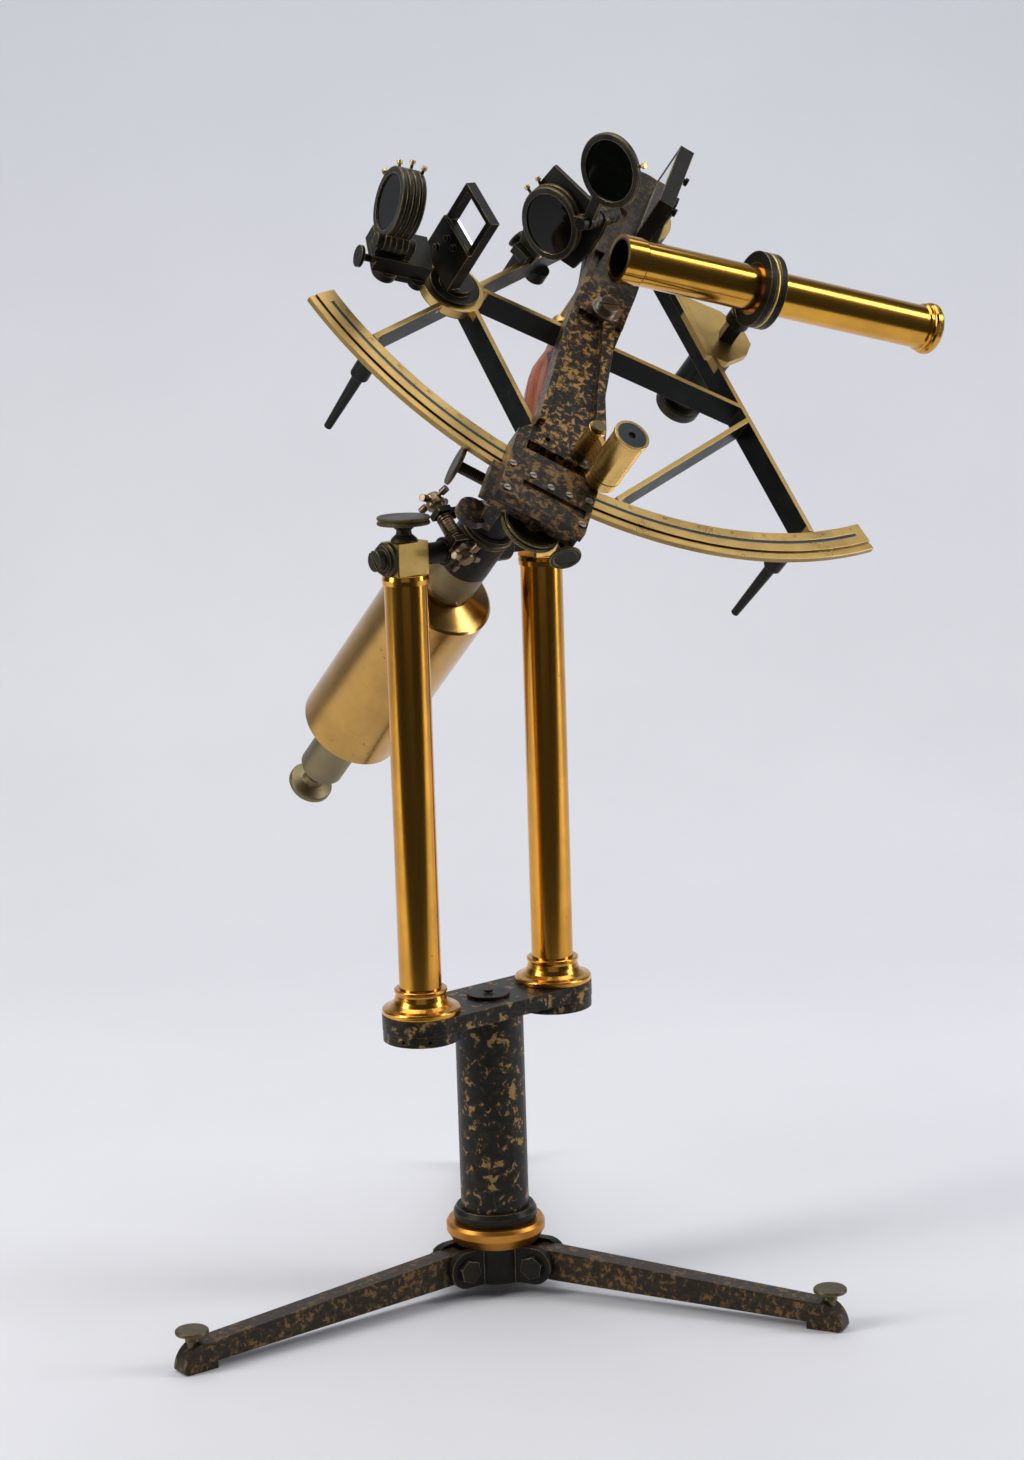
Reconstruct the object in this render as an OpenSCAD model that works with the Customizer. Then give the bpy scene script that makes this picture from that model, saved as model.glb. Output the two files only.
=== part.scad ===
// Quintant on its counterpoised folding stand.
// Millimetres, +Z up. The origin is on the floor, under the middle of the
// whole object; the column stands at (-origin_x, -origin_y).
// +X runs along the tilt axle, from the left pillar to the right one.
// The instrument is drawn in its own plane: x to the right, y from the
// divided arc towards the pivot, z out of the front. The index arm is drawn
// pointing along -y and then turned to its place.

/* [Stand] */
// height of the tilt axle over the floor
axle_z = 373.8; // [330:0.1:420]
// distance from the column's axis to each pillar
pillar_x = 41.2; // [38:0.1:50]
// radius of the pillar tubes
pillar_r = 10.4; // [8:0.1:12]
// radius of the main column
column_r = 17; // [13:0.1:20]
// top face of the crossbar over the floor
bar_top = 150.2; // [140:0.1:170]
// thickness of the crossbar's plate
bar_t = 7.9; // [6:0.1:12]
// thickness of the round bosses under the crossbar's ends
boss_t = 5.3; // [3:0.1:8]
// radius of the crossbar's ends
bar_r = 19.3; // [17:0.1:24]
// distance from the column's axis to a levelling screw
foot_r = 176.5; // [150:0.5:200]
// width of a leg
leg_w = 10.6; // [8:0.1:14]
// direction of the left leg about the column
leg_turn = 177.4; // [165:0.1:190]
// direction of the rear leg about the column
rear_turn = 54.4; // [45:0.1:65]
// distance from the column's axis to a leg's hinge
hinge_r = 24.5; // [22:0.1:30]
// height of the leg hinges over the floor
hinge_z = 15; // [13:0.1:20]

/* [Tilt head] */
// tilt of the instrument's plane about the axle
tilt = 46.7; // [0:0.1:90]
// turn of the instrument about its spindle
slew = -37.4; // [-180:0.1:180]
// distance from the tilt axle to the instrument's front plane
reach = 116.2; // [105:0.1:130]
// radius of the counterweight
weight_r = 26; // [20:0.1:28]
// length of the counterweight's cylinder
weight_len = 112; // [90:0.5:116]

// length of the sleeve behind the counterweight
tail_len = 41; // [20:0.5:44]

/* [Quintant] */
// radius of the finely divided line on the arc
arc_r = 203.2; // [190:0.1:215]
// half the angle that the arc covers
arc_half = 42.8; // [36:0.1:45]
// angle of the two radial bars from the centre line
bar_angle = 34.35; // [30:0.05:38]
// depth of the frame's bars behind the front plane
frame_d = 13; // [9:0.1:16]
// width of the frame's bars
frame_w = 2.4; // [2:0.1:4]
// distance from the pivot to the frame's cross bar
cross_v = 102; // [90:0.5:110]
// angle of the index arm from the centre line
arm_angle = -5.8; // [-22:0.1:36]
// sideways place of the handle, spindle and handle boss
grip_u = -11; // [-14:0.1:-6]
// distance from the pivot to the spindle that the stand holds
grip_v = 140.2; // [120:0.1:160]
// distance of the handle's axis behind the front plane
grip_b = 40; // [36:0.1:44]
// greatest radius of the wooden handle
grip_r = 12.8; // [9:0.1:15]
// length of the back feet from the front plane
pin_len = 52; // [48:0.5:60]

/* [Sighting] */
// length of the index mirror's case
mirror_l = 46.5; // [36:0.5:50]
// height of the index mirror's case
mirror_h = 26; // [22:0.1:30]
// height of the telescope's axis over the front plane
tele_h = 33.5; // [28:0.1:40]
// radius of the telescope's tubes
tele_r = 10.8; // [8:0.1:12]
// telescope length in front of its collar
tele_front = 75.8; // [60:0.5:90]
// telescope length behind its collar
tele_back = 96.2; // [80:0.1:120]
// outer radius of the telescope's collar
collar_r = 18; // [16:0.1:20]
// half the length of the telescope's collar along its axis
collar_half = 4.4; // [2.9:0.1:5]
// radius of the index shades
shade_r = 17.2; // [12:0.1:18]
// radius of the horizon shades
shade2_r = 16.2; // [12:0.1:18]
// turn of the index shade that is swung out of the light
shade_out = -9; // [-40:1:40]
// turn of the index shades that are in the light
shade_in = -140; // [-150:1:-120]

/* [Fits] */
// radial clearance of a shaft that turns or slides in a bore
run = 0.05; // [0.02:0.01:0.1]
// gap between parts that move past each other
gap = 0.3; // [0.2:0.05:0.6]
// radial clearance of a pin that is fixed in its hole
seat = 0.02; // [0.01:0.01:0.05]

/* [Show] */
// name of the piece to draw, or all

/* [Hidden] */
$fn = 64;
eps = 0.01;
// middle of the whole object over the floor, from the column's axis
origin_x = 6.6;
origin_y = -4.6;
BRASS = [0.80, 0.58, 0.22];
DARK = [0.16, 0.15, 0.13];
BRONZE = [0.33, 0.27, 0.17];
OLIVE = [0.50, 0.43, 0.27];
STEEL = [0.55, 0.52, 0.48];
WOOD = [0.48, 0.20, 0.09];
GLASS = [0.25, 0.27, 0.30, 0.5];
MIRROR = [0.85, 0.87, 0.90];

// stand
bar_low = bar_top - bar_t;
boss_low = bar_low - boss_t;
ring_low = 24.5;
ring_top = 35;
collar_low = ring_top + gap;
collar_top = 42;
spindle_r = 9;
spindle_top_r = 7;
pin_r = 3.5;
screw_r = 2.5;
cheek_in = leg_w / 2 + gap;
cheek_t = 4.6;
cheek_out = cheek_in + cheek_t;
cheek_r = 9.4;
block_x = 18.5;
block_y = 14.5;
block_h = 15.9;
block_low = axle_z - block_h / 2 - 0.4;
block_top = block_low + block_h;
journal_r = 4.5;
axle_r = 5.2;
axle_half = pillar_x - block_x / 2 - gap;
knob_z = block_top + 8.2;
leg_dirs = [leg_turn, leg_turn + 120, rear_turn];

// tilt head, measured along the spindle from the tilt axle, to the rear
drum_r = 13.2;
drum_front = -13.6;
drum_rear = 11;
wheel_front = -19.5;
sleeve_end = 27;
worm_x = -drum_r - 4.6;
worm_y = 5;
worm_z = 11.6;
weight_start = 32;
weight_end = weight_start + 4 + weight_len;

// quintant
limb_in = arc_r - 5.2;
limb_mid = arc_r + 5.4;
limb_out = arc_r + 9;
limb_t = 3.4;
rib_in = arc_r - 7;
rib_out = arc_r - 3;
joint_v = 108;
strut_u = 14.4;
hub_r = 21;
axis_r = 8;
pad_d = frame_d + 0.3;
floor_b = 2;
arm_t = 6;
rim_h = 3.8;
head_r = 17.6;
plate_w = 43;
disc_v = arc_r + 26.3;
plate_v = arc_r + 35.8;
body_v = arc_r + 30.8;
jaw_v = arc_r + 6.5;
disc_r = 13.8;
knob_u = 19.8;
arm_end = arc_r - 7.2;
grip_low = arc_r - 12.2;
post_u = 9;
post_v = arc_r - 12.8;
eye_u = 20.3;
eye_v = arc_r + 1.3;
knob_v = arc_r + 29.8;
tangent_v = arc_r + 6;
tangent_z = -13.6;
tele_u = 57.2;
tele_v = 59.3;
tele_turn = -17.34;
stem_w = 7;
rise_low = 42;
ishade_u = -37;
ishade_v = 85.8;
ishade_z = 49.3;
shade_u = -118.9;
shade_v = 127.8;
shade_z = 23.6;
shade_pitch = 3;
inlay_in = arc_r - 0.8;
inlay_out = arc_r + 0.8;
foot_in = arc_r + 1.6;
foot_turns = [-32.5, 29.4];
clip_r = 72.8;
mirror_u = -88.5;
mirror_v = 106;
mirror_turn = 37;

// Helpers

module bar(r, z0, z1) {
    translate([0, 0, z0]) cylinder(r = r, h = z1 - z0);
}

module ring(r_out, r_in, z0, z1) {
    difference() {
        bar(r_out, z0, z1);
        bar(r_in, z0 - 1, z1 + 1);
    }
}

// a box between two corners
module between(a, b) {
    translate(a) cube(b - a);
}

// a sector of a flat ring in the instrument's plane
module sector(r_in, r_out, half, z0, z1) {
    rotate([0, 0, -90 - half]) rotate_extrude(angle = 2 * half, $fn = 360)
        translate([r_in, z0]) square([r_out - r_in, z1 - z0]);
}

// outline of a frame bar between two points of the instrument's plane
module flat_strip(a, b) {
    d = b - a;
    translate(a) rotate(atan2(d[1], d[0])) translate([0, -frame_w / 2])
        square([norm(d), frame_w]);
}

// a straight bar between two points of the instrument's plane
module strip(a, b, w, z0, z1) {
    d = b - a;
    translate([a[0], a[1], z0]) rotate([0, 0, atan2(d[1], d[0])])
        translate([0, -w / 2, 0]) cube([norm(d), w, z1 - z0]);
}

// the stand's frame, with its z along the column
module stand_frame() {
    translate([-origin_x, -origin_y, 0]) children();
}

// the leg that points along an angle about the column
module leg_frame(turn) {
    stand_frame() rotate([0, 0, turn]) children();
}

// the frame that tilts on the axle; +z is out of the instrument's front
module head_frame() {
    stand_frame() translate([0, 0, axle_z]) rotate([tilt, 0, 0]) children();
}

// the frame of the quintant itself
module quintant_frame() {
    head_frame() rotate([0, 0, slew]) translate([-grip_u, grip_v, reach])
        children();
}

// the frame of the index arm
module arm_frame() {
    quintant_frame() rotate([0, 0, arm_angle]) children();
}

// the frame of the telescope: x along its axis, towards the eye
module tele_frame() {
    quintant_frame() translate([tele_u, -tele_v, tele_h])
        rotate([0, 0, -tele_turn]) children();
}

// Tripod

module cheek(side) {
    rotate([90, 0, 0]) translate([0, 0, side > 0 ? -cheek_out : cheek_in])
        linear_extrude(cheek_t) difference() {
            union() {
                translate([hinge_r, hinge_z]) circle(r = cheek_r);
                translate([12, hinge_z - cheek_r])
                    square([hinge_r - 12, 2 * cheek_r]);
            }
            translate([hinge_r, hinge_z]) circle(r = pin_r + seat);
        }
}

module hub() {
    color(DARK) stand_frame() difference() {
        union() {
            bar(18, hinge_z - 9.6, ring_low);
            for (a = leg_dirs) rotate([0, 0, a]) {
                cheek(1);
                cheek(-1);
            }
        }
        bar(spindle_r + seat, hinge_z - 12, ring_low + 1);
        for (a = leg_dirs) rotate([0, 0, a])
            between([13.6, -cheek_in, 0], [40, cheek_in, hinge_z + 8.6]);
    }
}

module base_ring() {
    color(BRASS) stand_frame() rotate_extrude()
        polygon([[spindle_r + seat, ring_low],
            [21.6, ring_low], [24.7, 29.6], [24.7, 33.2], [23.6, ring_top],
            [spindle_r + seat, ring_top]]);
}

module azimuth_spindle() {
    color(STEEL) stand_frame() {
        bar(spindle_r, hinge_z - 9.6, collar_top + 8);
        bar(spindle_top_r, collar_top + 8 - eps, bar_top + gap);
    }
}

module spindle_cap() {
    color(DARK) stand_frame() {
        bar(10.6, bar_top + gap, bar_top + 1.6);
        translate([0, 0, bar_top + 1.6 - eps]) difference() {
            bar(2.4, 0, 1.6);
            between([-3, -0.35, 0.8], [3, 0.35, 3]);
        }
    }
}

module hinge_screw() {
    translate([hinge_r, 0, hinge_z]) rotate([90, 0, 0]) {
        bar(pin_r, -cheek_out - 2.6, cheek_out + gap);
        difference() {
            bar(7.9, cheek_out + seat, cheek_out + 2.6);
            rotate([0, 0, 40]) between([-9, -0.6, cheek_out + 1.6],
                [9, 0.6, cheek_out + 4]);
        }
        rotate([0, 0, 20]) translate([0, 0, -cheek_out - 3])
            cylinder(r = 6, h = 3 - seat, $fn = 6);
    }
}

module hinge_screws() {
    color(DARK) {
        leg_frame(leg_dirs[0]) hinge_screw();
        leg_frame(leg_dirs[1]) mirror([0, 1, 0]) hinge_screw();
        leg_frame(leg_dirs[2]) mirror([0, 1, 0]) hinge_screw();
    }
}

// side view of a leg: x outwards, y up
module leg_profile() {
    difference() {
        union() {
            translate([hinge_r, hinge_z]) circle(r = 7.6);
            polygon([[hinge_r, hinge_z - 7.5], [hinge_r + 9, 7.2],
                [foot_r - 10.5, 3.6], [foot_r - 10.5, 0], [foot_r + 6.2, 0],
                [foot_r + 7.6, 3], [foot_r - 1, 13.4],
                [hinge_r + 9, 22.6], [hinge_r, hinge_z + 7.5]]);
            intersection() {
                translate([foot_r - 5.4, 1.2]) circle(r = 13);
                translate([foot_r - 4, 1]) square([20, 14]);
            }
        }
        translate([hinge_r, hinge_z]) circle(r = pin_r + run);
    }
}

module leg(turn) {
    color(BRONZE) leg_frame(turn) difference() {
        rotate([90, 0, 0]) translate([0, 0, -leg_w / 2])
            linear_extrude(leg_w) leg_profile();
        translate([foot_r, 0, 0]) bar(screw_r + run, -1, 20);
    }
}

module leg_left() leg(leg_dirs[0]);
module leg_right() leg(leg_dirs[1]);
module leg_rear() leg(leg_dirs[2]);

module levelling(turn) {
    color(BRASS) leg_frame(turn) translate([foot_r, 0, 0]) {
        bar(screw_r, 0.3, 16);
        rotate_extrude() polygon([[0, 14.9], [3.6, 14.9], [3.2, 16.4],
            [4.2, 18.2], [8, 18.6], [8.1, 19.4], [7.6, 20.4], [0, 20.4]]);
    }
}

module levelling_left() levelling(leg_dirs[0]);
module levelling_right() levelling(leg_dirs[1]);
module levelling_rear() levelling(leg_dirs[2]);

// Column and pillars

module column_collar() {
    color(DARK) stand_frame() rotate_extrude()
        polygon([[spindle_r + run, collar_low],
        [20.2, collar_low], [20.8, 37], [20.8, 39.6], [19.4, collar_top],
        [spindle_r + run, collar_top]]);
}

module column() {
    color(BRONZE) stand_frame() ring(column_r, 12, collar_top, bar_low);
}

module crossbar() {
    color(BRONZE) stand_frame() difference() {
        union() {
            translate([0, 0, bar_low]) linear_extrude(bar_t) {
                translate([-pillar_x, 0]) circle(r = bar_r);
                translate([pillar_x, 0]) circle(r = bar_r);
                translate([-pillar_x, -bar_r + 0.4])
                    square([2 * pillar_x, 2 * bar_r - 0.8]);
            }
            for (s = [-1, 1]) translate([s * pillar_x, 0, 0])
                bar(bar_r - 0.2, boss_low, bar_low + 0.5);
        }
        bar(spindle_top_r + run, boss_low, bar_top + 1);
        for (a = [205, 245]) translate([-pillar_x, 0, boss_low + 2.6])
            rotate([0, 90, a]) bar(1.1, bar_r - 2, bar_r + 1);
    }
}

module pillar(s) {
    color(BRASS) stand_frame() translate([s * pillar_x, 0, 0]) {
        ring(pillar_r, pillar_r - 1.8, bar_top, block_low);
        rotate_extrude() polygon([[pillar_r - 0.5, block_low - 4.6],
            [pillar_r + 0.7, block_low - 4.4], [pillar_r + 1, block_low - 2],
            [pillar_r + 0.5, block_low], [pillar_r - 0.5, block_low]]);
    }
}

module pillars() {
    pillar(-1);
    pillar(1);
}

module pillar_bases() {
    color(BRASS) stand_frame() for (s = [-1, 1])
        translate([s * pillar_x, 0, bar_top])
        rotate_extrude() polygon([[pillar_r + seat, 0], [19, 0],
            [19.2, 0.5], [19.2, 2.2], [18.6, 2.9], [16.2, 3.6], [14.2, 5],
            [12.9, 7.2], [12.4, 9.6], [12.6, 10.4], [13, 10.9],
            [12.9, 12], [12.2, 12.4], [pillar_r + seat, 12.4]]);
}

module block(s) {
    color(BRASS) stand_frame() difference() {
        translate([s * pillar_x, 0, 0]) intersection() {
            between([-block_x / 2, -block_y / 2, block_low],
                [block_x / 2, block_y / 2, block_top]);
            bar(11.3, block_low - 1, block_top + 1);
        }
        translate([0, 0, axle_z]) rotate([0, 90, 0])
            bar(journal_r + run, -pillar_x - 20, pillar_x + 20);
        if (s < 0) translate([-pillar_x, 0, 0])
            bar(screw_r + run, axle_z, block_top + 1);
    }
}

module bearing_blocks() {
    block(-1);
    block(1);
}

module pivot_screw() {
    out = block_x / 2;
    difference() {
        union() {
            bar(journal_r - 0.1, out - 3.4, out + 1);
            bar(8.2, out + seat, out + 2.4);
            bar(7, out + 2.4 - eps, out + 4.2);
            bar(5.1, out + 4.2 - eps, out + 8.6);
        }
        rotate([0, 0, 35]) between([-6, -0.6, out + 6.6], [6, 0.6, out + 10]);
    }
}

module pivot_screws() {
    color(DARK) stand_frame() for (s = [-1, 1])
        translate([s * pillar_x, 0, axle_z]) rotate([0, s * 90, 0])
            pivot_screw();
}

module tilt_knob() {
    color(BRASS) stand_frame() translate([-pillar_x, 0, 0]) {
        bar(screw_r, axle_z + journal_r + gap, knob_z);
        rotate_extrude() polygon([[0, block_top + gap], [6.6, block_top + gap],
            [6, block_top + 1.6], [3.8, block_top + 3.6],
            [3.6, block_top + 5.4], [6, knob_z - 0.6], [12.5, knob_z],
            [12.7, knob_z + 0.7], [12.5, knob_z + 1.4],
            [11.9, knob_z + 1.7], [11.9, knob_z + 2.1],
            [12.5, knob_z + 2.4], [12.7, knob_z + 3.1],
            [12.3, knob_z + 3.8], [0, knob_z + 3.8]]);
    }
}

// Tilt head: +z is the instrument's front, so rearward is -z

module cradle() {
    color(DARK) head_frame() difference() {
        union() {
            rotate([0, 90, 0]) bar(axle_r, -axle_half, axle_half);
            rotate([0, 90, 0]) bar(journal_r, -pillar_x - 5.4,
                pillar_x + 5.4);
            bar(drum_r, -drum_rear, -drum_front);
            rotate([0, 90, 0]) bar(8.4, drum_r - 4, drum_r + 5.4);
            rotate([0, 90, 0]) bar(7, -drum_r - 5.4, -drum_r + 4);
        }
        bar(6 + run, -drum_rear - 1, -drum_front + 1);
    }
}

// the worm's carrier at the left of the drum
module worm_bracket() {
    color(DARK) head_frame() difference() {
        for (s = [-1, 1]) translate([0, worm_y + 9 * s, 0]) {
            between([worm_x - 4.2, -1.5, 7.8], [-8, 1.5, 13.8]);
            between([worm_x - 4.2, -1.5, 7.8], [-drum_r - 1.2, 1.5, 16.2]);
        }
        bar(drum_r + seat, -1, 20);
        translate([worm_x, 0, worm_z]) rotate([90, 0, 0])
            bar(2.4 + run, -30, 30);
    }
}

module capstan_head() {
    rotate_extrude() polygon([[0, 0], [3.4, 0], [4, 1.6], [4.8, 2.4],
        [4.8, 4.4], [4.2, 5], [3.8, 8], [3.2, 9], [0, 9]]);
    for (a = [20, 110]) rotate([0, 0, a]) translate([0, 0, 6.4])
        rotate([0, 90, 0]) {
            bar(1, -9, 9);
            bar(1.8, 5.6, 9.2);
            bar(1.8, -9.2, -5.6);
        }
}

module capstan_screw() {
    color(STEEL) head_frame() translate([worm_x, worm_y, worm_z])
        rotate([-90, 0, 0]) {
            bar(2.4, -14, 14);
            bar(3.3, -7.2, 7.2);
            bar(3.7, -3.6, 3.6);
            for (s = [0, 1]) mirror([0, 0, s]) translate([0, 0, 11])
                capstan_head();
        }
}

module counter_sleeve() {
    color(OLIVE) head_frame() {
        ring(drum_r - 0.1, 8.4, -sleeve_end, -drum_rear);
        ring(11, 8.4, -weight_start, -sleeve_end + eps);
        translate([0, -11, -29.6]) rotate([90, 0, 0]) bar(1.6, -0.4, 1.4);
    }
}

module counterweight() {
    color(BRASS) head_frame() translate([0, 0, -weight_start])
        mirror([0, 0, 1]) rotate_extrude($fn = 96) polygon([[0, 0],
            [12.4, 0], [weight_r - 1.2, 3.6], [weight_r, 4.6],
            [weight_r, weight_len + 3.6], [weight_r - 1, weight_len + 4],
            [0, weight_len + 4]]);
}

module counter_tail() {
    color(OLIVE) head_frame() translate([0, 0, -weight_end])
        mirror([0, 0, 1]) rotate_extrude() polygon([[0, 0], [11.6, 0],
            [11.6, tail_len - 2], [10.4, tail_len], [6, tail_len + 0.4],
            [4.8, tail_len + 7], [5.6, tail_len + 11],
            [11.2, tail_len + 12], [11.6, tail_len + 13],
            [11.6, tail_len + 15], [11, tail_len + 16],
            [0, tail_len + 16]]);
}

// Spindle that carries the quintant

module slew_wheel() {
    color(DARK) head_frame() difference() {
        union() {
            bar(13.9, 14.6, 17);
            bar(13.4, 17 - eps, -wheel_front);
        }
        bar(11.6, 18.6, 30);
        bar(6 + seat, 0, 30);
    }
}

module slew_spindle() {
    back_b = grip_b + grip_r;
    color(DARK) head_frame() {
        bar(6, -drum_rear - 8, 18.6);
        translate([0, 0, 18.6]) cylinder(r1 = 11, r2 = 8, h = 12);
        bar(8, 30.6 - eps, reach - back_b - 3);
        bar(9.6, reach - back_b - 3, reach - back_b + 1);
        bar(5, reach - back_b, reach - grip_b + grip_r + 5);
        bar(7.8, -drum_rear - 8, -drum_rear - gap);
        bar(8, reach - grip_b + grip_r - 0.4,
            reach - grip_b + grip_r + 3.6);
    }
}

module handle() {
    color(WOOD) quintant_frame() translate([grip_u, 0, -grip_b])
        difference() {
            rotate([90, 0, 0]) rotate_extrude() polygon([[0, 57], [5.4, 57],
                [6, 62], [6.2, 70], [7.2, 76], [9.6, 83],
                [grip_r - 1.2, 90], [grip_r - 0.3, 97], [grip_r, 105],
                [grip_r - 0.2, 114], [grip_r - 0.8, 124],
                [grip_r - 1.3, grip_low - 55], [grip_r - 1.3, grip_low - 43],
                [grip_r - 1.5, grip_low - 31], [grip_r - 2.8, grip_low - 21],
                [grip_r - 5, grip_low - 14], [6.6, grip_low - 10],
                [6.2, grip_low - 5], [0, grip_low - 5]]);
            translate([0, -grip_v, 0]) {
                bar(5 + seat, -20, 20);
                bar(8 + seat, grip_r - 0.4, 20);
                bar(9.6 + seat, -20, -grip_r + 1);
            }
            rotate([90, 0, 0]) bar(2 + seat, 50, 62);
            rotate([90, 0, 0]) bar(2 + seat, grip_low - 11, grip_low - 1);
        }
}

module handle_bracket(v, s) {
    translate([grip_u, -v, 0]) {
        bar(4.2, -grip_b - 5, -pad_d - seat);
        translate([0, 0, -grip_b]) rotate([90 * s, 0, 0]) {
            bar(6.4, 0, 4.9);
            bar(2, 4.8, 9);
        }
    }
}

module handle_brackets() {
    color(BRASS) quintant_frame() {
        handle_bracket(52, 1);
        handle_bracket(grip_low, -1);
    }
}

// Frame of the quintant

function ray(a, r) = [r * sin(a), -r * cos(a)];

// flat outline of the bars between the pivot and the arc
module bars() {
    jl = [-joint_v * tan(bar_angle), -joint_v];
    jr = [joint_v * tan(bar_angle), -joint_v];
    strut_v = sqrt(pow(rib_in + 1, 2) - pow(strut_u, 2));
    cx = cross_v * tan(bar_angle);
    flat_strip(ray(bar_angle, hub_r - 2), ray(bar_angle, rib_in + 1));
    flat_strip(ray(-bar_angle, hub_r - 2), ray(-bar_angle, rib_in + 1));
    flat_strip(jl, [-strut_u, -strut_v]);
    flat_strip(jr, [strut_u, -strut_v]);
    flat_strip([-cx, -cross_v], [cx, -cross_v]);
}

module frame() {
    color(BRASS) quintant_frame() difference() {
        union() {
            translate([0, 0, -frame_d]) linear_extrude(frame_d - 0.2) bars();
            sector(rib_in, rib_out, arc_half - 0.4, 0.2 - frame_d, -limb_t);
            bar(hub_r, -frame_d - 1, 0.3);
            // boss on the cross bar and lobes for what the frame carries
            translate([grip_u, -cross_v, 0]) bar(12.4, -pad_d, -0.6);
            translate([-80.4, -109, 0]) bar(15.4, -5, 0);
            translate([tele_u, -tele_v, 0]) bar(9.4, -rise_low, -2);
            translate([0, 0, -4]) linear_extrude(3.6) polygon([[27, -44],
                [53, -43], [66, -49], [70.5, -56], [69, -65], [60, -76],
                [49, -77]]);
            translate([shade_u, -shade_v, 0]) rotate([0, 0, -tele_turn])
                between([6, 7, -4.8], [42, 17, -0.05]);
            translate([grip_u, -38, 0]) between([-5.6, -20, -pad_d],
                [5.6, 18, -frame_d + 4]);
            translate([grip_u, -grip_low - 2, 0])
                between([-6, -5, -pad_d], [6, 7, -4.2]);
        }
        bar(axis_r + run, -frame_d - 2, 1);
        translate([tele_u, -tele_v, 0]) between(
            [-stem_w / 2 - run, -stem_w / 2 - run, -rise_low - 1],
            [stem_w / 2 + run, stem_w / 2 + run, 1]);
    }
}

module limb() {
    color(BRASS) quintant_frame() difference() {
        union() {
            sector(limb_in, limb_mid, arc_half, -limb_t, 0);
            sector(limb_mid - 0.5, limb_out, arc_half, -limb_t, -0.7);
        }
        sector(inlay_in - seat, inlay_out + seat, arc_half - 1.5, -0.32, 1);
        sector(limb_mid - 0.3, limb_mid + 0.5, arc_half + 1, -1.3, 1);
    }
}

module scale_inlay() {
    color(MIRROR) quintant_frame()
        sector(inlay_in, inlay_out, arc_half - 1.6, -0.3, 0);
}

// a back foot; top is the face that it is fixed to
module foot(top) {
    rotate([180, 0, 0]) {
        bar(4.4, top, frame_d + 3);
        translate([0, 0, frame_d + 3 - eps])
            cylinder(r1 = 2.8, r2 = 1.9, h = pin_len - frame_d - 3);
    }
}

module frame_feet() {
    color(DARK) quintant_frame() {
        for (a = foot_turns) translate(ray(a, foot_in)) foot(limb_t + seat);
        translate([0, 15, 0]) foot(frame_d + 1 + seat);
    }
}

// Index arm; x across, -y towards the arc, z out of the front

module index_arm() {
    color(BRONZE) arm_frame() difference() {
        union() {
            // base plate with its round top over the pivot
            translate([0, 0, floor_b]) linear_extrude(arm_t) polygon([
                [-12, 4], [12, 4], [13.4, -40], [12.6, -70], [9.6, -122],
                [12, -150], [17, -arm_end + 26], [19, -arm_end + 12],
                [19, -arm_end], [-19, -arm_end], [-19, -arm_end + 6],
                [-14.2, -arm_end + 12], [-14.8, -150],
                [-16, -122], [-15, -90], [-13.8, -52]]);
            bar(head_r - 1, floor_b, floor_b + arm_t);
            // raised rims
            translate([0, 0, floor_b + arm_t - eps]) linear_extrude(rim_h) {
                polygon([[-13.8, -52], [-11, -52], [-12, -90], [-12.8, -122],
                    [-11.6, -150], [-11, -arm_end + 12],
                    [-14.2, -arm_end + 12],
                    [-14.8, -150], [-16, -122], [-15, -90]]);
                polygon([[0.4, -101], [6.4, -101], [9.6, -122],
                    [12, -150], [17, -arm_end + 26], [19, -arm_end + 12],
                    [16, -arm_end + 12], [12.2, -arm_end + 24],
                    [8, -150], [4, -122]]);
            }
            // dark plate that stiffens the arm under the pivot
            translate([0, 0, floor_b + arm_t - eps]) linear_extrude(2)
                polygon([[-11.4, -60], [12.4, -60], [10.8, -99],
                    [-12, -99]]);
            // tab at the left of the pivot, and the round head over it
            between([-14.2, -60, floor_b], [-9.4, -34, 14.4]);
            bar(head_r, floor_b + arm_t - 1.6, floor_b + arm_t + 2);
            between([-4, -37, floor_b + arm_t - eps],
                [14, 0, floor_b + arm_t + 2]);
        }
        for (x = [-6.4, 6.4])
            translate([x, -arm_end + 6, 0]) bar(1.4, 0, 9);
    }
    color(STEEL) arm_frame() bar(axis_r, -frame_d - 4, floor_b + 1);
}

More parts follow.
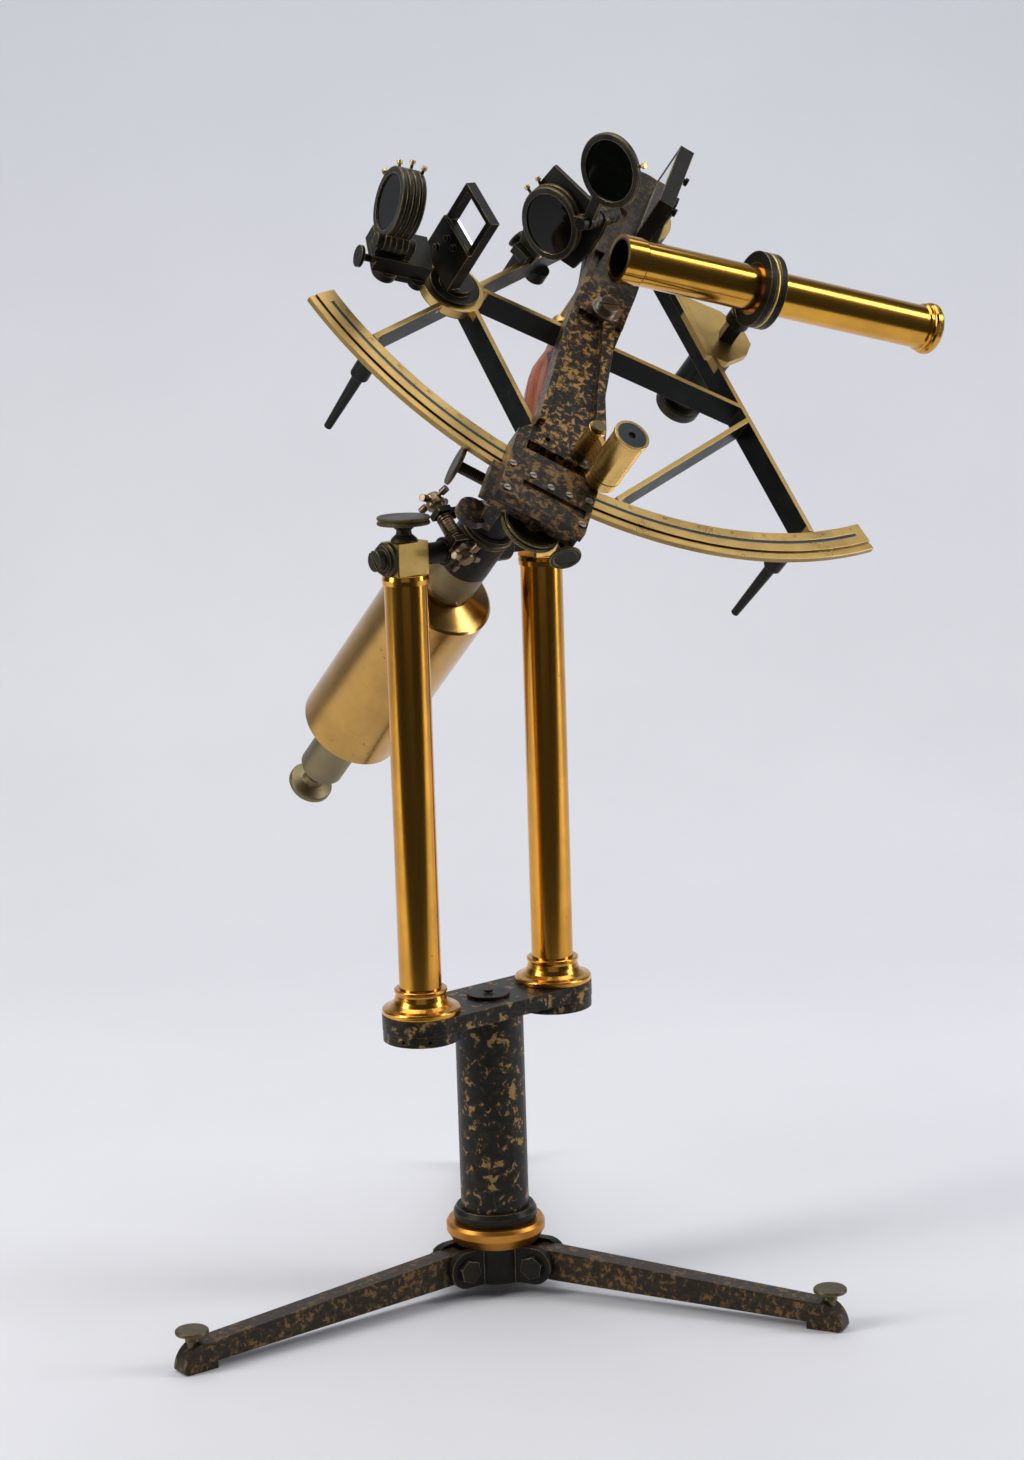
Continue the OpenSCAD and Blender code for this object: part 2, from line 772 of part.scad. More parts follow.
module vernier_box() {
    w = plate_w / 2;
    color(BRONZE) arm_frame() difference() {
        union() {
            // front plate, and its side walls in front of the arc
            between([-w, -plate_v, 8.4], [w, -arm_end - 0.2, 12]);
            between([-w, -plate_v, 6.4], [w, -limb_out - 1.4, 8.4 + eps]);
            between([-w, -body_v, 0.6],
                [-w + 3.4, -arm_end - 0.2, 8.4 + eps]);
            between([w - 3.4, -body_v, 0.6],
                [w, -arm_end - 0.2, 8.4 + eps]);
            // body past the arc's edge, and its left cheek
            between([-w, -body_v, -3], [w, -limb_out - 1.4, 6.4 + eps]);
            between([-w - 4.4, -body_v + 1, -3],
                [-w + eps, -limb_out - 1.4, 3.6]);
            // jaw behind the arc's edge
            between([-16, -disc_v + disc_r + 1, -7.4],
                [16, -limb_out - 1.4, -3 + eps]);
            between([-16, -disc_v + disc_r + 1, -7.4],
                [16, -jaw_v, -limb_t - gap]);
            // lugs for the tangent screw and the small knob
            between([-19.4, -body_v + 1, -18],
                [-13.2, -limb_out - 1.4, -3 + eps]);
            between([-19.4, -limb_out - 1.5, -18],
                [-13.2, -arc_r - 1.2, -limb_t - 5.4]);
            between([17, -body_v + 5, -13],
                [21.5, -arc_r - 15.8, -3 + eps]);
            translate([-23.4, -disc_v, -18]) bar(7.4, 0, 4);
        }
        // window over the scale, and the long recess
        between([-15.6, -arc_r - 3, 5], [17.4, -arm_end, 13]);
        between([-12, -arc_r - 27.4, 10.6], [19.4, -arc_r - 22.2, 13]);
        translate([1.8, -disc_v, 0]) bar(3 + run, -20, 4.4);
        translate([0, -tangent_v, tangent_z]) rotate([0, -90, 0])
            bar(2.7 + run, 10, 30);
        translate([knob_u, -knob_v, -8.6]) rotate([90, 0, 28])
            bar(1.4 + run, -9, 9);
    }
}

module vernier_scale() {
    color(BRASS) arm_frame() difference() {
        intersection() {
            between([-15.4, -arc_r - 6.8, 1.2],
                [17.2, -arc_r + 4.2, 3.6]);
            bar(arc_r + 6, 0, 10);
        }
        bar(arc_r - 3.2, 0, 10);
    }
}

module arm_screws() {
    color(STEEL) arm_frame() {
        translate([0, -93, floor_b + arm_t + 2]) {
            bar(7.2, seat, 1.8);
            difference() {
                bar(4.8, 1.8 - eps, 5.4);
                rotate([0, 0, 30]) between([-6, -0.5, 4], [6, 0.5, 7]);
            }
        }
        for (p = [[-19, 16.5], [-8.7, 17.6], [-18, 32.2], [0.5, 19.4],
                [9.4, 18.2], [18.8, 15.5], [18.8, 31.2]])
            translate([p[0], -arc_r - p[1], 12]) difference() {
                bar(1.7, seat, 0.7);
                rotate([0, 0, 30]) between([-3, -0.25, 0.3], [3, 0.25, 2]);
            }
    }
}

// large double disc that clamps the arm to the arc
module clamp_screw() {
    color(DARK) arm_frame() translate([1.8, -disc_v, -3.6]) {
        bar(3, -1, 7.6);
        mirror([0, 0, 1]) difference() {
            rotate_extrude() polygon([[0, 0.6], [disc_r - 0.6, 0],
                [disc_r, 0.6], [disc_r - 0.2, 1.6], [disc_r - 1.2, 2],
                [disc_r - 1.2, 2.6], [disc_r - 0.2, 3], [disc_r, 4.2],
                [disc_r - 0.8, 5.4], [0, 5.4]]);
            ring(disc_r - 2, 4.4, -1, 1.4);
        }
    }
}

module release_knob() {
    color(DARK) arm_frame() translate([knob_u, -knob_v, -8.6])
        rotate([90, 0, 28]) {
            bar(1.4, -6, 2.2);
            rotate_extrude() polygon([[0, 0.6], [2.6, 0.8], [3, 1.8],
                [6.9, 2], [7.3, 2.8], [7, 3.8], [5.6, 3.8], [5.2, 3.2],
                [0, 3.2]]);
        }
}

module tangent_screw() {
    color(BRONZE) arm_frame() translate([0, -tangent_v, tangent_z])
        rotate([0, -90, 0]) {
            bar(2.7, 12, 37);
            bar(3.4, 19.4 + gap, 22);
            translate([0, 0, 36.4]) rotate_extrude() polygon([[0, 0],
                [4.6, 0], [9.1, 0.3], [9.6, 0.8], [9.2, 1.2], [9.6, 1.7],
                [9.2, 2.3], [3, 2.6], [0, 2.6]]);
        }
}

module magnifier_post() {
    color(BRONZE) arm_frame() translate([post_u, -post_v, floor_b + arm_t]) {
        bar(2.4, seat, 20.6);
        bar(3.6, seat, 4.6);
        bar(3.2, 19.8, 21.4);
    }
}

module magnifier() {
    color(BRASS) arm_frame() {
        difference() {
            union() {
                translate([eye_u, -eye_v, 13]) {
                    bar(7.3, 0.6, 6);
                    bar(7.8, 6 - eps, 30.4);
                    bar(8.3, 30.4 - eps, 32);
                }
                strip([post_u, -post_v], [eye_u - 3.3, -eye_v + 3.5], 2.2, 14,
                    26.8);
                translate([post_u, -post_v, 0]) bar(4.2, 13.2, 27.4);
            }
            translate([post_u, -post_v, 0]) bar(2.4 + run, 10, 40);
            translate([eye_u, -eye_v, 13]) {
                bar(6.4, 0, 29.6);
                bar(1.8, 29, 34);
            }
        }
    }
}

// Mirrors

// the index mirror's own frame; x across its face, y along it
module index_mirror_frame_at() {
    arm_frame() translate([6, -16.9, 16]) rotate([0, 0, -2.5]) children();
}

module index_mirror_frame() {
    color(DARK) index_mirror_frame_at() {
        difference() {
            between([-3.7, -mirror_l / 2, 0], [3.7, mirror_l / 2, mirror_h]);
            between([-4, -mirror_l / 2 + 2.2, 2.4],
                [-1.6, mirror_l / 2 - 2.2, mirror_h - 1.6]);
        }
        between([-3.7, -17, -6 + seat], [3.7, 16, eps]);
        between([3.7 - eps, -15, -6 + seat], [8.4, 12, -3]);
        between([3.7 - eps, -4, -3.1], [7.4, 2, 14]);
        for (p = [[-14, 17], [12, 17]])
            translate([3, p[0], p[1]]) rotate([0, 90, 0]) {
                bar(1.2, 0, 4.6);
                bar(2, 3, 4.6);
            }
    }
}

module index_mirror() {
    color(MIRROR) index_mirror_frame_at()
        between([-3.4, -mirror_l / 2 + 2.3, 2.5],
            [-1.62, mirror_l / 2 - 2.3, mirror_h - 1.7]);
}

// x across the mirror's face, y along it
module mirror_frame() {
    quintant_frame() translate([mirror_u, -mirror_v, 0])
        rotate([0, 0, mirror_turn]) children();
}

module horizon_mirror_frame() {
    color(DARK) {
        quintant_frame() translate([-80.4, -109, 0]) {
            bar(12.4, seat, 1.7);
            bar(8, 1.7 - eps, 4.6);
        }
        mirror_frame() {
            difference() {
                between([-2.4, -12.6, 4.2], [2.6, 12.6, 48]);
                between([-3, -9.4, 27.4], [3, 9.4, 45.6]);
                between([0.9, -10.8, 6], [3, 10.8, 27.5]);
            }
            between([-4, -12.6, 4.2], [-2.4 + eps, 12.6, 27]);
            between([-4, -5, 4.3], [8, 8, 5.9]);
            for (p = [[-3, 22], [3, 22], [6, 13]])
                translate([-4, p[0], p[1]]) rotate([0, -90, 0])
                    bar(1.5, -0.4, 1.8);
        }
    }
}

module horizon_mirror() {
    color(MIRROR) mirror_frame()
        between([0.92, -10.7, 6.1], [2.3, 10.7, 27.4]);
}

// Shades

module shade(r, t) {
    rotate_extrude() polygon([[r - 3.2, 0], [r - 0.4, 0],
        [r, 0.4], [r, t - 0.4], [r - 0.4, t], [r - 3.2, t]]);
    translate([0, 0, t / 2 - 0.5]) cylinder(r = r - 3.1, h = 1);
}

// one shade with its arm and hinge eye: the eye is at the origin, the
// shade's centre lies at distance d along x, z is the sight line, w is the
// arm's width and a turns the little finger pin about the shade
module shade_arm(r, t, d, w, a) {
    difference() {
        union() {
            translate([d, 0, 0]) shade(r, t);
            translate([0, -w / 2, 0]) cube([d - r + 2, w, t]);
            cylinder(r = max(3.6, w / 2), h = t);
            translate([d, 0, t / 2]) rotate([0, 0, a])
                translate([r - 0.6, 0, 0]) rotate([0, 90, 0]) {
                    cylinder(r = 0.7, h = 4);
                    translate([0, 0, 3]) cylinder(r = 1.3, h = 1.6);
                }
        }
        translate([0, 0, -1]) cylinder(r = 1.8 + run, h = t + 2);
    }
}

// the hinge of the index shades; z along the light path, x to the front
module index_shade_frame() {
    quintant_frame() translate([ishade_u, -ishade_v, ishade_z])
        rotate([0, 0, 139.6]) rotate([90, 0, 0]) rotate([0, 0, 90])
            children();
}

// the plate stands on the left bar of the frame, behind the shades
module index_shade_bracket() {
    low = -ishade_z + seat;
    color(DARK) {
        index_shade_frame() {
            translate([0, 0, -8]) cylinder(r = 1.8, h = 24);
            translate([0, 0, -8]) cylinder(r = 3.2, h = 2);
            translate([0, 0, -6.2]) cylinder(r = 2.6, h = 2);
            for (z = [4.8, 8.6, 12.4]) translate([0, 0, z])
                cylinder(r = 4.3, h = 3.4);
            difference() {
                translate([0, 0, 4.8]) linear_extrude(2) polygon([
                    [0.3, -33.4], [3.8, -5], [3, 4], [-6, 5.6],
                    [-17.9, 5.6], [-30.7, 3.3], [-32.8, -3.1],
                    [-36, -14.4], [low, -16], [low, -26], [-30, -32],
                    [-12.1, -34.9]]);
                translate([-19.4, -16.4, 0]) cylinder(r = 13.6, h = 9);
            }
        }
        quintant_frame() rotate([0, 0, -90 - bar_angle]) {
            between([76, -8.4, seat], [89, 0.8, 5]);
            between([64, -6.6, -frame_d - 4], [88, -frame_w / 2 - seat, 1]);
            translate([clip_r, -6.6, -5]) rotate([90, 0, 0]) {
                bar(1.8, -eps, 5);
                translate([0, 0, 4]) cylinder(r1 = 1.8, r2 = 4.6, h = 4);
                bar(4.6, 8 - eps, 9);
            }
            translate([66, 0, -frame_d - 6]) bar(5.4, 0, 6 - seat);
        }
    }
}

module index_shade_1() {
    color(DARK) index_shade_frame() rotate([0, 0, shade_out])
        translate([0, 0, -3.4]) shade_arm(shade_r, 2.4, 29.3, 5.2, 47);
}

module index_shade_2() {
    color(DARK) index_shade_frame() rotate([0, 0, shade_in])
        translate([0, 0, -0.7]) shade_arm(shade_r, 2.4, 26, 5.2, 59);
}

module index_shade_3() {
    color(DARK) index_shade_frame() rotate([0, 0, shade_in + 2])
        translate([0, 0, 2]) shade_arm(shade_r, 2.4, 26, 5.2, 73);
}

// the hinge of the horizon shades; z along the line of sight
module horizon_shade_frame() {
    quintant_frame() translate([shade_u, -shade_v, shade_z])
        rotate([0, 0, -tele_turn]) rotate([0, 90, 0]) rotate([0, 0, 180])
            children();
}

module horizon_shade_bracket() {
    color(DARK) horizon_shade_frame() {
        // hinge pin between its two lugs
        translate([0, 0, -8.2]) cylinder(r = 1.8, h = 18);
        translate([0, 0, -8.2]) cylinder(r = 3.3, h = 2.8);
        translate([0, 0, 7.2]) cylinder(r = 3.6, h = 3);
        translate([-8, -3, -7]) cube([8, 6, 1.6]);
        translate([-8, -3.4, 7.2]) cube([8, 6.8, 3]);
        // block, its foot on the frame's arm and the nuts under it
        translate([-14, -15, -5]) cube([8.6, 20, 27]);
        translate([-8, -5, -7]) cube([2.6, 10, 2.1]);
        translate([-shade_z + seat, -16.8, 7])
            cube([shade_z - 14 + 1, 9.6, 15]);
        translate([-14, 1, 3.4]) rotate([0, -90, 0])
            cylinder(r = 5.8, h = 4.2);
        translate([-14, 4.4, 18.4]) rotate([0, -90, 0])
            cylinder(r = 3.8, h = 3.4);
        // thumbscrew at the outer end
        translate([-9, 3, -12]) cylinder(r = 1.7, h = 8);
        translate([-9, 3, -13.4]) cylinder(r = 5, h = 1.6);
    }
}

module horizon_shade(i, a) {
    color(DARK) horizon_shade_frame() rotate([0, 0, -51])
        translate([0, 0, -5.1 + shade_pitch * i])
            shade_arm(shade2_r, 2.6, 17.8, 8.4, a);
}

module horizon_shade_1() horizon_shade(0, -40);
module horizon_shade_2() horizon_shade(1, -12);
module horizon_shade_3() horizon_shade(2, 11);
module horizon_shade_4() horizon_shade(3, 34);

// Telescope

module telescope_collar() {
    color(DARK) tele_frame() {
        rotate([0, 90, 0]) difference() {
            union() {
                bar(collar_r, -collar_half, 0.2 - collar_half / 3);
                bar(collar_r, collar_half / 3 - 0.2, collar_half);
                bar(collar_r - 0.6, -collar_half + 1, collar_half - 1);
            }
            bar(tele_r + 1.6, -8, 8);
        }
        rotate([0, 0, tele_turn]) {
            between([-stem_w / 2, -stem_w / 2, -tele_h - rise_low + 1],
                [stem_w / 2, stem_w / 2, -collar_r + 1.6]);
            translate([0, 0, -collar_r]) bar(6, -5, 1.4);
        }
    }
}

module telescope_nut() {
    color(BRASS) quintant_frame() translate([tele_u, -tele_v, 0])
        mirror([0, 0, 1]) difference() {
            rotate_extrude() polygon([[0, rise_low + gap],
                [6.6, rise_low + gap], [7, rise_low + 3],
                [10.8, rise_low + 4], [11.3, rise_low + 5],
                [11.3, rise_low + 9], [10.8, rise_low + 10],
                [0, rise_low + 10]]);
            bar(5.4, rise_low - 1, rise_low + 8);
        }
}

module telescope_tube() {
    color(BRASS) tele_frame() rotate([0, 90, 0]) {
        ring(tele_r, tele_r - 1.2, -tele_front + 10, 5);
        ring(tele_r + 0.5, tele_r - 2, -tele_front, -tele_front + 10);
        ring(tele_r + 1.6 - seat, tele_r - 0.4, 0.2 - collar_half,
            collar_half - 0.2);
    }
}

module telescope_lens() {
    color(GLASS) tele_frame() rotate([0, 90, 0])
        bar(tele_r - 1.2 - seat, -tele_front + 11, -tele_front + 14);
}

module eyepiece_tube() {
    color(BRASS) tele_frame() rotate([0, 90, 0]) difference() {
        union() {
            bar(tele_r - 1.2 - run, -30, 5 + gap);
            bar(tele_r - 0.3, 5 + gap, tele_back - 6);
            rotate_extrude() polygon([[0, tele_back - 7.4],
                [tele_r - 0.3, tele_back - 7.4],
                [tele_r + 0.6, tele_back - 6.6],
                [tele_r + 0.6, tele_back - 5.4], [tele_r, tele_back - 5],
                [tele_r + 1, tele_back - 4.4],
                [tele_r + 1.6, tele_back - 3.4],
                [tele_r + 1.6, tele_back - 1.2],
                [tele_r + 0.8, tele_back], [0, tele_back]]);
        }
        bar(tele_r - 2.4, -31, tele_back - 9);
        bar(3, tele_back - 10, tele_back + 1);
        translate([0, 0, tele_back - 3])
            cylinder(r1 = 3, r2 = 8, h = 3 + eps);
    }
}

hub();
base_ring();
azimuth_spindle();
spindle_cap();
hinge_screws();
leg_left();
leg_right();
leg_rear();
levelling_left();
levelling_right();
levelling_rear();
column();
column_collar();
crossbar();
pillars();
pillar_bases();
bearing_blocks();
pivot_screws();
tilt_knob();
cradle();
worm_bracket();
capstan_screw();
counter_sleeve();
counterweight();
counter_tail();
slew_spindle();
slew_wheel();
handle();
handle_brackets();
frame();
limb();
scale_inlay();
frame_feet();
index_arm();
vernier_box();
vernier_scale();
arm_screws();
clamp_screw();
release_knob();
tangent_screw();
magnifier_post();
magnifier();
index_mirror_frame();
index_mirror();
horizon_mirror_frame();
horizon_mirror();
index_shade_bracket();
index_shade_1();
index_shade_2();
index_shade_3();
horizon_shade_bracket();
horizon_shade_1();
horizon_shade_2();
horizon_shade_3();
horizon_shade_4();
telescope_collar();
telescope_nut();
telescope_tube();
telescope_lens();
eyepiece_tube();
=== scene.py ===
"""Looks of the quintant on its counterpoised stand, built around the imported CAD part."""

import math

import bmesh
import bpy
from mathutils import Matrix, Vector


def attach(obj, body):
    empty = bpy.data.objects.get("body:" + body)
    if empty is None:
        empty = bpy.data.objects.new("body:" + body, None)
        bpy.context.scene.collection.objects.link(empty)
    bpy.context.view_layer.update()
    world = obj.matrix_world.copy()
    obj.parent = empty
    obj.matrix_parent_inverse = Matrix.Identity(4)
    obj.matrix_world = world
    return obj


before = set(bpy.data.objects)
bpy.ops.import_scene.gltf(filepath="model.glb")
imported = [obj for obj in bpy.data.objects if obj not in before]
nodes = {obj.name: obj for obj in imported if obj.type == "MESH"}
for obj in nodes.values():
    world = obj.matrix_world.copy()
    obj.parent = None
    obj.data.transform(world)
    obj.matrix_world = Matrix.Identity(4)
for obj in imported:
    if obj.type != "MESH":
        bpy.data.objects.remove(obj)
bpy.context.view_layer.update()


def shift(x, y, z):
    """A move in millimetres."""
    return Matrix.Translation((x / 1000, y / 1000, z / 1000))


def turn(degrees, axis):
    """A turn about one axis."""
    return Matrix.Rotation(math.radians(degrees), 4, axis)


# The same frames and sizes as in part.scad, in millimetres
TELE_U, TELE_V = 57.2, 59.3
BOSS_U, BOSS_V = 80.4, 109.0
TILT_AXLE_Z = 373.8
STAND = shift(-6.6, 4.6, 0)
HEAD = STAND @ shift(0, 0, TILT_AXLE_Z) @ turn(46.7, "X")
QUINTANT = HEAD @ turn(-37.4, "Z") @ shift(11, 140.2, 116.2)
ARM = QUINTANT @ turn(-5.8, "Z")
TELE = QUINTANT @ shift(TELE_U, -TELE_V, 33.5) @ turn(17.34, "Z") @ turn(90, "Y")
MAGNIFIER = ARM @ shift(20.3, -204.5, 0)
WORM = HEAD @ shift(-17.8, 5, 11.6) @ turn(-90, "X")
INDEX_SHADES = (
    QUINTANT @ shift(-37, -85.8, 49.3) @ turn(139.6, "Z") @ turn(90, "X") @ turn(90, "Z")
)
HORIZON_SHADES = (
    QUINTANT @ shift(-118.9, -127.8, 23.6) @ turn(17.34, "Z") @ turn(90, "Y") @ turn(180, "Z")
)
LEGS = {"left": 177.4, "right": 297.4, "rear": 54.4}
ARC_R = 203.2
ARC_HALF = 41.0

BRASS = (0.80, 0.52, 0.17)
DEEP_BRASS = (0.76, 0.36, 0.045)
OLIVE = (0.25, 0.20, 0.11)
PINK = (0.22, 0.155, 0.10)
BLACK = (0.008, 0.010, 0.008)
FLECK = (0.46, 0.27, 0.09)


class Look:
    """A node material with short ways to add its nodes; most return a socket."""

    def __init__(self, name):
        self.material = bpy.data.materials.new(name)
        self.material.use_nodes = True
        self.tree = self.material.node_tree
        self.shader = self.tree.nodes["Principled BSDF"]
        self.round = None

    def node(self, kind, **settings):
        made = self.tree.nodes.new("ShaderNode" + kind)
        for key, value in settings.items():
            setattr(made, key, value)
        return made

    def put(self, socket, value):
        if isinstance(value, bpy.types.NodeSocket):
            self.tree.links.new(value, socket)
        elif isinstance(value, tuple) and len(value) == 3 and socket.type == "RGBA":
            socket.default_value = (*value, 1)
        else:
            socket.default_value = value

    def set(self, **values):
        for key, value in values.items():
            self.put(self.shader.inputs[key.replace("_", " ")], value)

    def math(self, operation, a, b=0.0, c=0.0):
        made = self.node("Math", operation=operation)
        for socket, value in zip(made.inputs, (a, b, c)):
            self.put(socket, value)
        return made.outputs[0]

    def span(self, value, low, high, a=0.0, b=1.0):
        """value from low to high as a to b, held at the ends."""
        made = self.node("MapRange")
        for socket, v in zip(made.inputs, (value, low, high, a, b)):
            self.put(socket, v)
        return made.outputs[0]

    def mix(self, fac, a, b):
        made = self.node("Mix", data_type="RGBA")
        for i, value in ((0, fac), (6, a), (7, b)):
            self.put(made.inputs[i], value)
        return made.outputs[2]

    def place(self, local=None):
        """Position in metres, in the object's frame or in a frame of its own."""
        where = self.node("TexCoord").outputs["Object"]
        if local is None:
            return where
        made = self.node("Mapping", vector_type="TEXTURE")
        self.put(made.inputs["Vector"], where)
        made.inputs["Location"].default_value = local.to_translation()
        made.inputs["Rotation"].default_value = local.to_euler("XYZ")
        return made.outputs[0]

    def stretch(self, vector, x, y, z):
        made = self.node("VectorMath", operation="MULTIPLY")
        self.put(made.inputs[0], vector)
        made.inputs[1].default_value = (x, y, z)
        return made.outputs[0]

    def parts(self, vector):
        made = self.node("SeparateXYZ")
        self.put(made.inputs[0], vector)
        return made.outputs

    def radius(self, x, y):
        return self.math("SQRT", self.math("ADD", self.math("MULTIPLY", x, x),
                                           self.math("MULTIPLY", y, y)))

    def noise(self, vector, scale, detail=4.0, rough=0.6, bend=0.0):
        made = self.node("TexNoise")
        for key, value in (("Vector", vector), ("Scale", scale), ("Detail", detail),
                           ("Roughness", rough), ("Distortion", bend)):
            self.put(made.inputs[key], value)
        return made.outputs["Fac"]

    def rounded(self, radius=0.0005):
        """The normal with softened edges."""
        if self.round is None:
            made = self.node("Bevel", samples=4)
            made.inputs["Radius"].default_value = radius
            self.round = made.outputs[0]
        return self.round

    def edges(self, low=0.02, high=0.2):
        """1 on convex and concave edges, 0 on open faces, between low and high."""
        made = self.node("VectorMath", operation="DOT_PRODUCT")
        self.put(made.inputs[0], self.rounded())
        self.put(made.inputs[1], self.node("NewGeometry").outputs["Normal"])
        off = self.math("SUBTRACT", 1.0, made.outputs["Value"])
        return self.span(off, low, high)

    def bump(self, height, distance=0.0002, strength=0.5, soft=True):
        """Relief in the normal; soft also rounds the edges."""
        made = self.node("Bump")
        made.inputs["Strength"].default_value = strength
        made.inputs["Distance"].default_value = distance
        self.put(made.inputs["Height"], height)
        if soft:
            self.put(made.inputs["Normal"], self.rounded())
        self.set(Normal=made.outputs[0])


def metal(name, color, rough=0.25, local=None, grain=(60, 60, 900), scratch=0.25, dark=0.45,
          spots=0.0, relief=0.00006, soft=True):
    """Lacquered or bare metal with fine tool lines, uneven tarnish and worn edges."""
    look = Look(name)
    where = look.place(local)
    deep = tuple(c * dark for c in color)
    lines = look.noise(look.stretch(where, *grain), 1.0, 3.0, 0.6)
    cloud = look.noise(where, 38.0, 5.0, 0.6, 0.4)
    tone = look.mix(look.span(cloud, 0.35, 0.75, 0.0, 0.5), color, deep)
    tone = look.mix(look.span(lines, 0.62, 0.8, 0.0, scratch), tone, deep)
    if spots:
        dots = look.noise(where, 420.0, 3.0, 0.5)
        few = look.noise(where, 60.0, 2.0, 0.5)
        mask = look.math("MULTIPLY", look.span(dots, 0.66, 0.72), look.span(few, 0.5, 0.62))
        tone = look.mix(look.math("MULTIPLY", mask, spots), tone, (0.05, 0.03, 0.015))
    light = tuple(min(1.0, c * 1.25) for c in color)
    tone = look.mix(look.math("MULTIPLY", look.edges(), 0.5), tone, light)
    look.set(Base_Color=tone, Metallic=1.0,
             Roughness=look.span(look.math("ADD", lines, cloud), 0.6, 1.4, rough * 0.75,
                                 rough * 1.35))
    look.bump(lines, relief, 0.35, soft)
    return look


def lacquer(name, color=BLACK, wear=0.5, rough=0.36, under=(0.56, 0.40, 0.16)):
    """Black lacquer with brass showing through at its worn edges."""
    look = Look(name)
    where = look.place()
    cloud = look.noise(where, 70.0, 6.0, 0.62)
    fine = look.noise(where, 900.0, 3.0, 0.6)
    tone = look.mix(look.span(cloud, 0.4, 0.75), color, (0.024, 0.021, 0.013))
    rub = look.math("MULTIPLY", look.edges(0.02, 0.16), look.span(cloud, 0.36, 0.54, 0.35, 1.0))
    rub = look.math("MULTIPLY", rub, wear)
    look.set(Base_Color=look.mix(rub, tone, under),
             Metallic=look.math("MULTIPLY", rub, 0.9), Specular_IOR_Level=0.16,
             Roughness=look.span(cloud, 0.3, 0.7, rough - 0.08, rough + 0.12))
    look.bump(fine, 0.00005, 0.4)
    return look


def mottled(name, share=0.57, scale=170.0, base=(0.012, 0.012, 0.009), brown=(0.05, 0.032, 0.015),
            gold=FLECK, stretch=(1.0, 1.0, 1.0), top=None):
    """Old black and brown lacquer with flecks where the bronze shows."""
    look = Look(name)
    where = look.stretch(look.place(), *stretch)
    cloud = look.noise(where, 45.0, 4.0, 0.6)
    chips = look.noise(where, scale, 5.0, 0.66, 0.5)
    grit = look.noise(where, 1100.0, 2.0, 0.5)
    area = look.span(cloud, 0.3, 0.7, -0.05, 0.05)
    spread = look.math("ADD", chips, area)
    tone = look.mix(look.span(spread, 0.46, share), base, brown)
    flecks = look.span(spread, share, share + 0.035)
    if top is not None:
        y = look.parts(look.place(ARM))[1]
        flecks = look.math("MULTIPLY", flecks, look.span(y, top - 0.012, top, 1.0, 0.0))
    gold = look.mix(look.span(grit, 0.3, 0.7), gold, tuple(0.6 * c for c in gold))
    tone = look.mix(flecks, tone, gold)
    rub = look.math("MULTIPLY", look.edges(0.05, 0.3), look.span(cloud, 0.35, 0.6, 0.25, 0.8))
    look.set(Base_Color=look.mix(rub, tone, (0.36, 0.23, 0.09)),
             Metallic=look.math("MULTIPLY", look.math("MAXIMUM", flecks, rub), 0.55),
             Roughness=look.span(spread, 0.4, 0.7, 0.34, 0.5), Specular_IOR_Level=0.2)
    look.bump(spread, 0.00018, 0.5)
    return look


def pillar_look():
    """Drawn tubes under an orange lacquer, with fine lengthwise lines."""
    look = metal("drawn_brass", DEEP_BRASS, 0.17, STAND, (900, 900, 5), 0.5, 0.35, 0.6,
                 0.000015, False)
    look.set(Coat_Weight=0.2, Coat_Roughness=0.08)
    return look


def frame_look():
    """Bars with bright brass front faces and blackened sides."""
    look = Look("frame_bars")
    local = look.place(QUINTANT)
    x, y, z = look.parts(local)
    made = look.node("VectorMath", operation="DOT_PRODUCT")
    look.put(made.inputs[0], look.node("TexCoord").outputs["Normal"])
    made.inputs[1].default_value = QUINTANT.to_3x3() @ Vector((0, 0, 1))
    front = look.math("MULTIPLY", look.span(made.outputs["Value"], 0.6, 0.8),
                      look.span(z, -0.006, -0.0052))
    bare = front
    for u, v, r in ((TELE_U, -TELE_V, 0.024), (-BOSS_U, -BOSS_V, 0.0185)):
        far = look.radius(look.math("SUBTRACT", x, u / 1000), look.math("SUBTRACT", y, v / 1000))
        disc = look.math("MULTIPLY", look.span(far, r - 0.001, r, 1.0, 0.0),
                         look.span(z, -0.0047, -0.0045))
        bare = look.math("MAXIMUM", bare, disc)
    bare = look.math("MAXIMUM", bare, look.span(look.radius(x, y), 0.194, 0.1945))
    cloud = look.noise(local, 60.0, 5.0, 0.62)
    chips = look.noise(local, 420.0, 5.0, 0.65)
    rub = look.math("MULTIPLY", look.edges(0.05, 0.3), look.span(cloud, 0.35, 0.6, 0.2, 0.9))
    rub = look.math("MAXIMUM", rub, look.span(chips, 0.7, 0.73, 0.0, 0.5))
    brass = look.mix(look.span(cloud, 0.35, 0.75, 0.0, 0.7), (0.60, 0.41, 0.15), (0.34, 0.21, 0.07))
    black = look.mix(look.span(cloud, 0.4, 0.7), (0.006, 0.008, 0.007), (0.014, 0.018, 0.016))
    shown = look.math("MAXIMUM", bare, rub)
    look.set(Base_Color=look.mix(shown, black, brass), Metallic=shown,
             Roughness=look.span(cloud, 0.3, 0.7, 0.3, 0.45), Specular_IOR_Level=0.15)
    look.bump(chips, 0.00004, 0.4)
    return look


